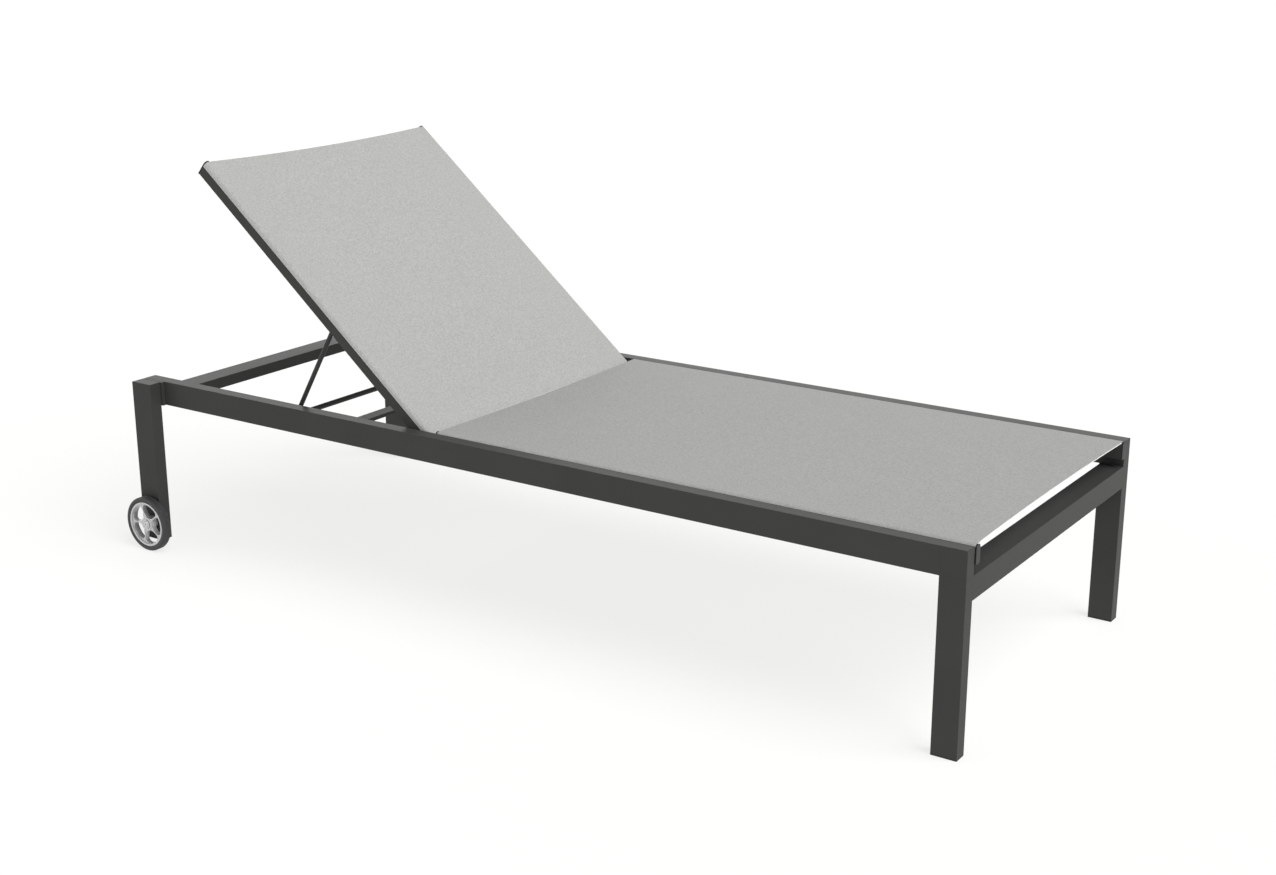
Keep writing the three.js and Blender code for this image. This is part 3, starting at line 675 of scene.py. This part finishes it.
RAIL_LOW, RAIL_HIGH = local_box("seat_rail_right", SEAT_PLACE)
HALF_RAIL = (RAIL_HIGH.y - RAIL_LOW.y) / 2
RAIL_CROWN = (RAIL_HIGH.z - RAIL_LOW.z) / 2
ARC_CENTRE = RAIL_CROWN - HALF_RAIL
GROOVE_U = HALF_RAIL - GROOVE_INSET


def flipped(outline, side, middle):
    """An outline drawn for the left side, put round middle on the side asked for."""
    if side > 0:
        return [Vector((middle + u, w)) for u, w in outline]
    return [Vector((middle - u, w)) for u, w in reversed(outline)]


def rail_outlines(side, middle):
    """Section of a sling rail: a full-round top, a keder groove in its outer side, a hollow below."""
    mouth = GROOVE_MOUTH / 2
    opening = math.asin(mouth / GROOVE_RADIUS)
    corner = HALF_RAIL - RAIL_CORNER
    low = RAIL_CORNER - RAIL_CROWN
    outer = arc((-corner, low), RAIL_CORNER, math.pi, 1.5 * math.pi, RAIL_CORNER_STEPS)
    outer += arc((corner, low), RAIL_CORNER, 1.5 * math.pi, 2 * math.pi, RAIL_CORNER_STEPS)
    outer += [Vector((HALF_RAIL, GROOVE_HEIGHT - mouth))]
    outer += arc((GROOVE_U, GROOVE_HEIGHT), GROOVE_RADIUS, -opening, opening - 2 * math.pi, ARC_STEPS)
    outer += [Vector((HALF_RAIL, GROOVE_HEIGHT + mouth))]
    outer += arc((0, ARC_CENTRE), HALF_RAIL, 0, math.pi, ARC_STEPS)
    inner = HALF_RAIL - RAIL_WALL
    bottom = RAIL_WALL - RAIL_CROWN
    hollow = [Vector((-inner, bottom)), Vector((-inner, WEB_BOTTOM)), Vector((inner, WEB_BOTTOM)),
              Vector((inner, bottom))]
    return [flipped(outer, side, middle), flipped(hollow, side, middle)]


def add_sling_rail(node, side, place):
    low, high = local_box(node, place)
    middle = (low.y + high.y) / 2
    rail = extruded(f"{node}_extrusion", rail_outlines(side, middle), low.x, high.x, place=place)
    return stand_in(rail, node)


def add_rail_cap(node, place, toward):
    """An end cap: a flange that stands a little proud of the rail, and a plug in the rail's hollow."""
    low, high = local_box(node, place)
    middle = (low.y + high.y) / 2
    half = HALF_RAIL + CAP_OVERHANG
    bottom = -RAIL_CROWN - CAP_OVERHANG
    outline = rounded([(-half, ARC_CENTRE), (-half, bottom), (half, bottom), (half, ARC_CENTRE)],
                      RAIL_CORNER, closed=False)
    outline += arc((0, ARC_CENTRE), half, 0, math.pi, 2 * ARC_STEPS)[1:-1]
    outline = [Vector((middle + u, w)) for u, w in outline]
    face = high.x if toward > 0 else low.x
    back = face - toward * CAP_FLANGE
    ends = sorted((face, back))
    flange = extruded(f"{node}_moulding", [outline], *ends, edge=CAP_EDGE, place=place)
    inner = HALF_RAIL - RAIL_WALL - CAP_GAP
    floor = RAIL_WALL + CAP_GAP - RAIL_CROWN
    roof = WEB_BOTTOM - CAP_GAP
    left, right = middle - inner, middle + inner
    plug_outline = [Vector((left, floor)), Vector((right, floor)), Vector((right, roof)),
                    Vector((left, roof))]
    tip = back - toward * CAP_PLUG_DEPTH
    root = face - toward * CAP_FLANGE / 2
    plug = extruded("cap_plug", [plug_outline], *sorted((tip, root)), place=place)
    return stand_in(joined(flange.name, [flange, plug]), node)


# ---- slings ------------------------------------------------------------------------------------

SLING_THICKNESS = 0.9 * MM
SLING_GAP = 0.35 * MM
SLING_SAG = 0.8 * MM
EDGE_CURVE = 6 * MM
TOP_EDGE_CURVE = 8.5 * MM
HEM_CLEARANCE = 2 * MM
HEM_DEPTH = 20 * MM
HEM_STEPS = 4
FOLD_STEPS = 6
FOLD_GAP = 0.15 * MM
FOLD_START = 1 / 3              # of the fold's radius, out from where the cloth starts to turn
KEDER_WRAP = 2.35 * MM
KEDER_RADIUS = 1.8 * MM
KEDER_STEPS = 20
KEDER_EDGE = 0.4 * MM
MOUTH_RISE = 0.4 * MM
MOUTH_STEPS = 5
WRAP_START = math.radians(-40)
WRAP_END = math.radians(9)
SLING_COLUMNS = 64
SLING_ROWS = 96


def wrapped_edge():
    """Half of a sling's section, from round the keder, out of the groove's mouth and up over the
    round top to the rail's crown; u is outwards from the rail's middle."""
    lift = HALF_RAIL + SLING_GAP + SLING_THICKNESS / 2
    level = GROOVE_HEIGHT + MOUTH_RISE
    path = arc((GROOVE_U, GROOVE_HEIGHT), KEDER_WRAP, WRAP_START, WRAP_END - 2 * math.pi, ARC_STEPS)
    turn = lift - HALF_RAIL
    path += [Vector((GROOVE_U + KEDER_WRAP + turn, level)), Vector((HALF_RAIL - turn, level))]
    path += arc((HALF_RAIL - turn, level + 2 * turn), 2 * turn, -math.pi / 2, 0, MOUTH_STEPS)
    path += [Vector((lift, (level + ARC_CENTRE) / 2 + turn))]
    path += arc((0, ARC_CENTRE), lift, 0, math.pi / 2, ARC_STEPS)
    return path


def sling_section(rail_y):
    """A sling's whole section from the right keder to the left one, as (across, up) points."""
    half = wrapped_edge()
    left = [Vector((rail_y + u, w)) for u, w in reversed(half)]
    right = [Vector((-rail_y - u, w)) for u, w in half]
    top = left[0].y
    between = []
    for column in range(1, SLING_COLUMNS):
        part = 2 * column / SLING_COLUMNS - 1
        between.append(Vector((part * rail_y, top - SLING_SAG * (1 - part ** 2))))
    return right + between + left


def add_sling(node, place, rail_y, far_curve):
    """A stretched sling: its sides go round the rails to the keders, and its two free ends curve in
    and have a hem folded under them between the rails. far_curve is how far the -X end curves."""
    low, high = local_box(node, place)
    section_points = sling_section(rail_y)
    radius = (SLING_THICKNESS + FOLD_GAP) / 2
    hem_limit = rail_y - HALF_RAIL - HEM_CLEARANCE

    def end_at(across, end, toward):
        part = min(abs(across) / rail_y, 1)
        curve = far_curve if toward < 0 else EDGE_CURVE
        return end - toward * (curve * (1 - part ** 2) + radius)

    rows = []
    for row in range(SLING_ROWS + 1):
        part = row / SLING_ROWS
        line = []
        for across, up in section_points:
            start = end_at(across, low.x, -1)
            finish = end_at(across, high.x, 1)
            line.append((start + (finish - start) * part, across, up))
        rows.append(line)

    def hem_rows(end, toward):
        made = []
        angles = [math.pi * step / FOLD_STEPS for step in range(1, FOLD_STEPS + 1)]
        turns = [(radius * math.sin(angle), radius * (1 - math.cos(angle))) for angle in angles]
        turns += [(-HEM_DEPTH * step / HEM_STEPS, 2 * radius) for step in range(1, HEM_STEPS + 1)]
        for out, down in turns:
            made.append([(end_at(across, end, toward) + toward * out, across, up - down)
                         for across, up in section_points])
        return made

    count = len(section_points)
    hemmed = [index for index in range(count - 1)
              if max(abs(section_points[index].x), abs(section_points[index + 1].x)) < hem_limit]
    points = [point for line in rows for point in line]
    faces = []
    for row in range(SLING_ROWS):
        for index in range(count - 1):
            here = row * count + index
            faces.append((here, here + 1, here + 1 + count, here + count))
    for end, toward, edge_row in ((low.x, -1, 0), (high.x, 1, SLING_ROWS)):
        before = edge_row * count
        for line in hem_rows(end, toward):
            first = len(points)
            points += line
            for index in hemmed:
                faces.append((before + index, before + index + 1, first + index + 1, first + index))
            before = first
    sling = make_object(f"{node}_cloth", points, faces, place)
    # Mark the hem's fold, where the cloth material paints a highlight.
    fold_highlight = sling.data.attributes.new(FOLD_HIGHLIGHT_MARK, "FLOAT", "POINT")
    for vertex, mark in zip(sling.data.vertices, fold_highlight.data):
        x, across, _ = vertex.co
        out = max(end_at(across, low.x, -1) - x, x - end_at(across, high.x, 1))
        mark.value = 1.0 if out > radius * FOLD_START else 0.0
    solid = sling.modifiers.new("thickness", "SOLIDIFY")
    solid.thickness = SLING_THICKNESS
    solid.offset = 0
    solid.use_even_offset = True
    stand_in(sling, node)


def add_keder(node, side, rail_y, place):
    low, high = local_box(node, place)
    outline = circle(KEDER_RADIUS, side * (rail_y + GROOVE_U), GROOVE_HEIGHT, KEDER_STEPS)
    rod = extruded(f"{node}_rod", [outline], low.x, high.x, edge=KEDER_EDGE, place=place)
    stand_in(rod, node)


def make_panel(part, place, far_cap, near_cap, far_curve):
    """The rails, caps, keders and sling of the seat or the backrest."""
    low, high = local_box(f"{part}_rail_left", place)
    rail_y = (low.y + high.y) / 2
    for side, label in SIDES:
        add_sling_rail(f"{part}_rail_{label}", side, place)
        add_rail_cap(f"{part}_rail_{far_cap}_{label}", place, -1)
        add_rail_cap(f"{part}_rail_{near_cap}_{label}", place, 1)
        add_keder(f"{part}_keder_{label}", side, rail_y, place)
    add_sling(f"{part}_sling", place, rail_y, far_curve)


# ---- hinge and prop ----------------------------------------------------------------------------

HEAD_ROUNDING = 1.1 * MM
HEAD_HEIGHT = 3 * MM
BOLT_TIP = 0.5 * MM
WASHER_CORNER = 0.5 * MM
SOCKET_RADIUS = 2.2 * MM
SOCKET_DEPTH = 1.6 * MM
ARM_RADIUS = 5 * MM
EYE_RADIUS = 8 * MM
EYE_HALF = 4 * MM
EYE_ROUNDING = 1.2 * MM
COLLAR_RADIUS = 8.6 * MM
ARM_GAP = 0.3 * MM
HINGE_BOLT_RADIUS = 3 * MM
PROP_BOLT_RADIUS = 2.8 * MM
ARM_STEPS = 32
BAR_ENDS = ((1 * MM, 0), (0.3 * MM, 0.3 * MM), (0, 1 * MM))     # (in from the side, in from the end)


def bolt_outline(head_radius, shaft_radius, top, end):
    """A button-head bolt with a round socket, from the top of its head out to the end of its shaft.
    Distances are from the centre line."""
    under = top + HEAD_HEIGHT
    head = [(0, top + SOCKET_DEPTH), (SOCKET_RADIUS, top + SOCKET_DEPTH), (SOCKET_RADIUS, top)]
    crown = [(SOCKET_RADIUS, top), (head_radius, top), (head_radius, under)]
    head += rounded(crown, HEAD_ROUNDING, closed=False)[1:]
    shaft = [(shaft_radius, under), (shaft_radius, end - BOLT_TIP), (shaft_radius - BOLT_TIP, end)]
    return head + shaft + [(0, end)]


def add_bolt(node, side, middle, shaft_radius):
    outline = bolt_outline(node_radius(node), shaft_radius, *node_span(node))
    stand_in(turned(f"{node}_turned", on_side(side, outline), middle.x, middle.z, BOLT_STEPS), node)


def make_hinges():
    for side, label in SIDES:
        add_bolt(f"hinge_bolt_{label}", side, HINGE, HINGE_BOLT_RADIUS)
        add_bolt(f"prop_bolt_{label}", side, PROP_HINGE, PROP_BOLT_RADIUS)
        washer = f"hinge_washer_{label}"
        bore = HINGE_BOLT_RADIUS + ARM_GAP
        ring = ring_outline(bore, node_radius(washer), *node_span(washer), WASHER_CORNER)
        made = turned(f"{washer}_turned", on_side(side, ring), HINGE.x, HINGE.z, BOLT_STEPS)
        stand_in(made, washer)


def add_prop_arm(node, bar_radius):
    """A round arm in the prop's axes: an eye on the bolt, a shaft, and a collar on the bar."""
    low, high = local_box(node, PROP_PLACE)
    middle = (low.y + high.y) / 2
    sides = (middle - EYE_HALF, middle + EYE_HALF)
    length = (PROP_BAR - PROP_HINGE).length
    eye_ring = ring_outline(PROP_BOLT_RADIUS + ARM_GAP, EYE_RADIUS, *sides, EYE_ROUNDING)
    collar_ring = ring_outline(bar_radius + ARM_GAP, COLLAR_RADIUS, *sides, EYE_ROUNDING)
    eye = turned("eye", eye_ring, 0, 0, BOLT_STEPS, PROP_PLACE)
    collar = turned("collar", collar_ring, -length, 0, BOLT_STEPS, PROP_PLACE)
    start = (bar_radius + COLLAR_RADIUS) / 2 - length
    finish = -(PROP_BOLT_RADIUS + EYE_RADIUS) / 2
    shaft = extruded("shaft", [circle(ARM_RADIUS, middle, 0, ARM_STEPS)], start, finish, place=PROP_PLACE)
    stand_in(joined(f"{node}_forged", [eye, collar, shaft]), node)


def make_prop():
    low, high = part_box("prop_bar")
    radius = node_radius("prop_bar")
    for _, label in SIDES:
        add_prop_arm(f"prop_arm_{label}", radius)
    outline = [(0, low.y)]
    outline += [(radius - in_side, low.y + in_end) for in_side, in_end in BAR_ENDS]
    outline += [(radius - in_side, high.y - in_end) for in_side, in_end in reversed(BAR_ENDS)]
    outline += [(0, high.y)]
    stand_in(turned("prop_bar_round", outline, PROP_BAR.x, PROP_BAR.z, BOLT_STEPS), "prop_bar")


# ---- wheels ------------------------------------------------------------------------------------

TYRE_GROOVES = 3
TYRE_GROOVE_DEPTH = 0.9 * MM
TYRE_GROOVE_HALF = 0.7 * MM
WALL_HEIGHT = 5 * MM
BEAD_INSET = 1.5 * MM
SHOULDER_INSET = 2.6 * MM
SHOULDER_RADIUS = 3 * MM
SHOULDER_STEPS = 4
TYRE_HEIGHT = 11 * MM           # rim to tread
BEAD_GAP = 0.3 * MM
RIM_LIP = 4.5 * MM
RIM_WIDTH = 19 * MM
RIM_ROUNDING = 1.3 * MM
HUB_RADIUS = 16 * MM
HUB_BORE = 5.4 * MM
HUB_REACH = 7.5 * MM            # from the middle of the wheel outwards
HUB_ROUNDING = 1.2 * MM
WINDOW_INNER = 16 * MM
WINDOW_OUTER = 46.4 * MM
WINDOW_STEPS = 56
WINDOW_SQUARENESS = 0.72
SPOKE_COUNT = 5
SPOKE_WIDTH = 2.6 * MM
SPOKE_DEPTH = 12 * MM
SPOKE_ROUNDING = 0.8 * MM
FIRST_SPOKE = math.radians(37)
HUB_CAP_BORE = 6.4 * MM
HUB_CAP_ROUNDING = 0.9 * MM
AXLE_RADIUS = 5 * MM
AXLE_TIP = 0.6 * MM
AXLE_HEAD_RADIUS = 6 * MM
AXLE_HEAD_HEIGHT = 2.2 * MM
AXLE_HEAD_ROUNDING = 1 * MM


def signed_power(value, power):
    return math.copysign(abs(value) ** power, value)


def window_outline(middle_angle, x, z):
    """An egg-shaped window between two spokes, clockwise."""
    middle = (WINDOW_INNER + WINDOW_OUTER) / 2
    reach = (WINDOW_OUTER - WINDOW_INNER) / 2
    made = []
    for step in range(WINDOW_STEPS):
        turn = -2 * math.pi * step / WINDOW_STEPS
        radius = middle + reach * signed_power(math.cos(turn), WINDOW_SQUARENESS)
        half = math.pi / SPOKE_COUNT - math.asin(SPOKE_WIDTH / 2 / radius)
        angle = middle_angle + half * signed_power(math.sin(turn), WINDOW_SQUARENESS)
        made.append(Vector((x + radius * math.cos(angle), z + radius * math.sin(angle))))
    return made


def tyre_outline(inner, outer, near, far):
    """Section of a tyre: soft walls, rounded shoulders and a few fine grooves round the tread."""
    wall = outer - WALL_HEIGHT
    profile = [(inner, near + BEAD_INSET), (wall, near), (outer, near + SHOULDER_INSET)]
    pitch = (far - near - 2 * SHOULDER_INSET) / (TYRE_GROOVES + 1)
    for groove in range(1, TYRE_GROOVES + 1):
        at = near + SHOULDER_INSET + pitch * groove
        profile += [(outer, at - TYRE_GROOVE_HALF), (outer - TYRE_GROOVE_DEPTH, at),
                    (outer, at + TYRE_GROOVE_HALF)]
    profile += [(outer, far - SHOULDER_INSET), (wall, far), (inner, far - BEAD_INSET)]
    return rounded(profile, SHOULDER_RADIUS, SHOULDER_STEPS)


def axle_outline(tip, head):
    """An axle bolt from its tip out to the top of its head, which has a round socket."""
    under = head - AXLE_HEAD_HEIGHT
    made = [(0, tip), (AXLE_RADIUS - AXLE_TIP, tip), (AXLE_RADIUS, tip + AXLE_TIP), (AXLE_RADIUS, under),
            (AXLE_HEAD_RADIUS, under)]
    crown = [(AXLE_HEAD_RADIUS, under), (AXLE_HEAD_RADIUS, head), (SOCKET_RADIUS, head)]
    made += rounded(crown, AXLE_HEAD_ROUNDING, closed=False)[1:]
    return made + [(SOCKET_RADIUS, head - SOCKET_DEPTH), (0, head - SOCKET_DEPTH)]


def add_wheel(side, label):
    low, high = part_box(f"tyre_{label}")
    x = (low.x + high.x) / 2
    z = (low.z + high.z) / 2
    radius = node_radius(f"tyre_{label}")
    near, far = node_span(f"tyre_{label}")
    middle = (near + far) / 2
    rim_radius = radius - TYRE_HEIGHT

    def spun(name, outline, steps):
        return turned(name, on_side(side, outline), x, z, steps)

    tyre = tyre_outline(rim_radius + BEAD_GAP, radius, near, far)
    stand_in(spun(f"tyre_{label}_moulding", tyre, WHEEL_STEPS), f"tyre_{label}")

    rim_sides = (middle - RIM_WIDTH / 2, middle + RIM_WIDTH / 2)
    hub_sides = (node_span(f"rim_{label}")[0], middle + HUB_REACH)
    rim_ring = ring_outline(rim_radius - RIM_LIP, rim_radius, *rim_sides, RIM_ROUNDING)
    hub_ring = ring_outline(HUB_BORE, HUB_RADIUS, *hub_sides, HUB_ROUNDING)
    ring = spun("ring", rim_ring, WHEEL_STEPS)
    hub = spun("hub", hub_ring, HUB_STEPS)
    edge = circle(rim_radius - RIM_LIP / 2, x, z, WINDOW_RING_STEPS)
    bore = circle((HUB_BORE + HUB_RADIUS) / 2, x, z, WINDOW_RING_STEPS)[::-1]
    turn = 2 * math.pi / SPOKE_COUNT
    windows = [window_outline(FIRST_SPOKE + turn * (number + 0.5), x, z) for number in range(SPOKE_COUNT)]
    depths = sorted((side * (middle - SPOKE_DEPTH / 2), side * (middle + SPOKE_DEPTH / 2)))
    spider = extruded("spider", [edge, bore, *windows], *depths, edge=SPOKE_ROUNDING, axis=1)
    stand_in(joined(f"rim_{label}_casting", [ring, hub, spider]), f"rim_{label}")

    cap = f"hub_cap_{label}"
    cap_ring = ring_outline(HUB_CAP_BORE, node_radius(cap), *node_span(cap), HUB_CAP_ROUNDING)
    stand_in(spun(f"{cap}_turned", cap_ring, CAP_STEPS), cap)
    axle = f"axle_bolt_{label}"
    stand_in(spun(f"{axle}_turned", axle_outline(*node_span(axle)), BOLT_STEPS), axle)


# ---- CAD nodes that stay -----------------------------------------------------------------------

KEPT_EDGE = 0.5 * MM
KEPT_EDGE_STEPS = 2
KEPT_EDGE_ANGLE = math.radians(35)
KEPT_WELD = 0.01 * MM


def finish_kept_nodes():
    """Soft edges and a material for the CAD nodes that still show."""
    for name, node in frame["nodes"].items():
        if node.hide_render:
            continue
        node.data.materials.clear()
        node.data.materials.append(MATERIALS[SLOT_OF[name]])
        weld = node.modifiers.new("weld", "WELD")
        weld.merge_threshold = KEPT_WELD
        bevel = node.modifiers.new("edges", "BEVEL")
        bevel.width = KEPT_EDGE
        bevel.segments = KEPT_EDGE_STEPS
        bevel.limit_method = "ANGLE"
        bevel.angle_limit = KEPT_EDGE_ANGLE
        bevel.use_clamp_overlap = True
        bevel.harden_normals = True


# ---- the scene ---------------------------------------------------------------------------------

add_camera()
add_world()
add_key()
add_floor()
bpy.context.scene.view_settings.view_transform = "Standard"
make_tubes()
make_panel("seat", SEAT_PLACE, "head_cap", "foot_cap", EDGE_CURVE)
make_panel("back", BACK_PLACE, "top_cap", "hinge_cap", TOP_EDGE_CURVE)
make_hinges()
make_prop()
for wheel_side, wheel_label in SIDES:
    add_wheel(wheel_side, wheel_label)
finish_kept_nodes()
